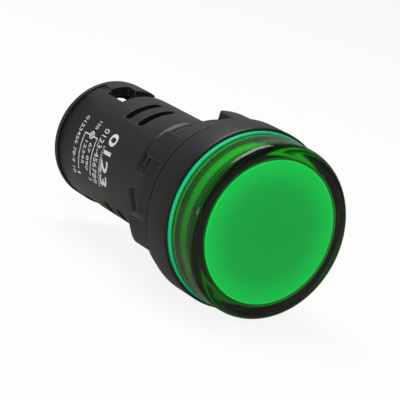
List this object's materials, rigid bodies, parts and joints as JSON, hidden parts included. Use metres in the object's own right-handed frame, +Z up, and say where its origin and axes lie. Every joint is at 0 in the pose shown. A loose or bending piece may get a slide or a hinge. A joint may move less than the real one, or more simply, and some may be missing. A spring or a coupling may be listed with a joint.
{
  "type": "panel pilot light",
  "caption": "Round green LED pilot light with a threaded black barrel, castellated ring nut, vent slots and two screw terminals at the rear.",
  "frame": {"origin": "centre of the bezel's back face, where the light seats on its panel", "axes": "+Y runs back through the panel along the barrel, -Y is the lens's front, +Z is up with the wire windows at the top and the bottom"},
  "size_m": [0.0304, 0.0547, 0.0304],
  "materials": {
    "black_plastic": "moulded black, fine satin",
    "green_lens": "clear green polycarbonate, polished",
    "green_diffuser": "milky green, satin",
    "black_rubber": "matt moulded rubber",
    "nut_plastic": "moulded black, fine satin",
    "cover_plastic": "moulded black, satin",
    "block_plastic": "moulded black, matt",
    "brass": "pressed brass strip",
    "zinc_steel": "zinc-plated steel",
    "board_white": "white solder mask",
    "led_package": "moulded LED package with a clear fill",
    "pin_brass": "gilt header pin",
    "board_green": "green solder mask",
    "capacitor_red": "dipped red-brown",
    "can_sleeve": "dark blue sleeve",
    "resistor_grey": "lacquered power resistor",
    "resistor_blue": "lacquered film resistor",
    "chip_epoxy": "black moulded epoxy"
  },
  "bodies": {
    "light_body": {"housing": "black_plastic", "lens": "green_lens", "diffuser": "green_diffuser", "gasket": "black_rubber", "rear_cover": "cover_plastic", "terminal_block": "block_plastic", "upper_terminal": "brass", "lower_terminal": "brass", "led_board": "board_white", "leds": "led_package", "link_pins": "pin_brass", "dropper_board": "board_green", "film_capacitor": "capacitor_red", "smoothing_capacitor": "can_sleeve", "series_resistor": "resistor_grey", "bleed_resistor": "resistor_blue", "bridge_rectifier": "chip_epoxy"},
    "ring_nut": {"panel_nut": "nut_plastic"},
    "upper_clamp_body": {"upper_clamp": "zinc_steel"},
    "upper_screw_body": {"upper_screw": "zinc_steel"},
    "lower_clamp_body": {"lower_clamp": "zinc_steel"},
    "lower_screw_body": {"lower_screw": "zinc_steel"}
  },
  "joints": [
    {"name": "nut_travel", "type": "slide", "parent": "light_body", "child": "ring_nut", "axis": [0, 1, 0], "range_m": [0, 0.046]},
    {"name": "upper_clamp_travel", "type": "slide", "parent": "light_body", "child": "upper_clamp_body", "axis": [0, 1, 0], "range_m": [0, 0.002]},
    {"name": "upper_screw_turn", "type": "hinge", "parent": "upper_clamp_body", "child": "upper_screw_body", "pos_m": [0, 0.0331, 0.005], "axis": [0, 1, 0], "range_deg": [0, 1440]},
    {"name": "lower_clamp_travel", "type": "slide", "parent": "light_body", "child": "lower_clamp_body", "axis": [0, 1, 0], "range_m": [0, 0.002]},
    {"name": "lower_screw_turn", "type": "hinge", "parent": "lower_clamp_body", "child": "lower_screw_body", "pos_m": [0, 0.0331, -0.005], "axis": [0, 1, 0], "range_deg": [0, 1440]}
  ],
  "couplings": [
    {"joint": "upper_screw_turn", "follows": "upper_clamp_travel", "rad_per_m": 12566},
    {"joint": "lower_screw_turn", "follows": "lower_clamp_travel", "rad_per_m": 12566}
  ]
}
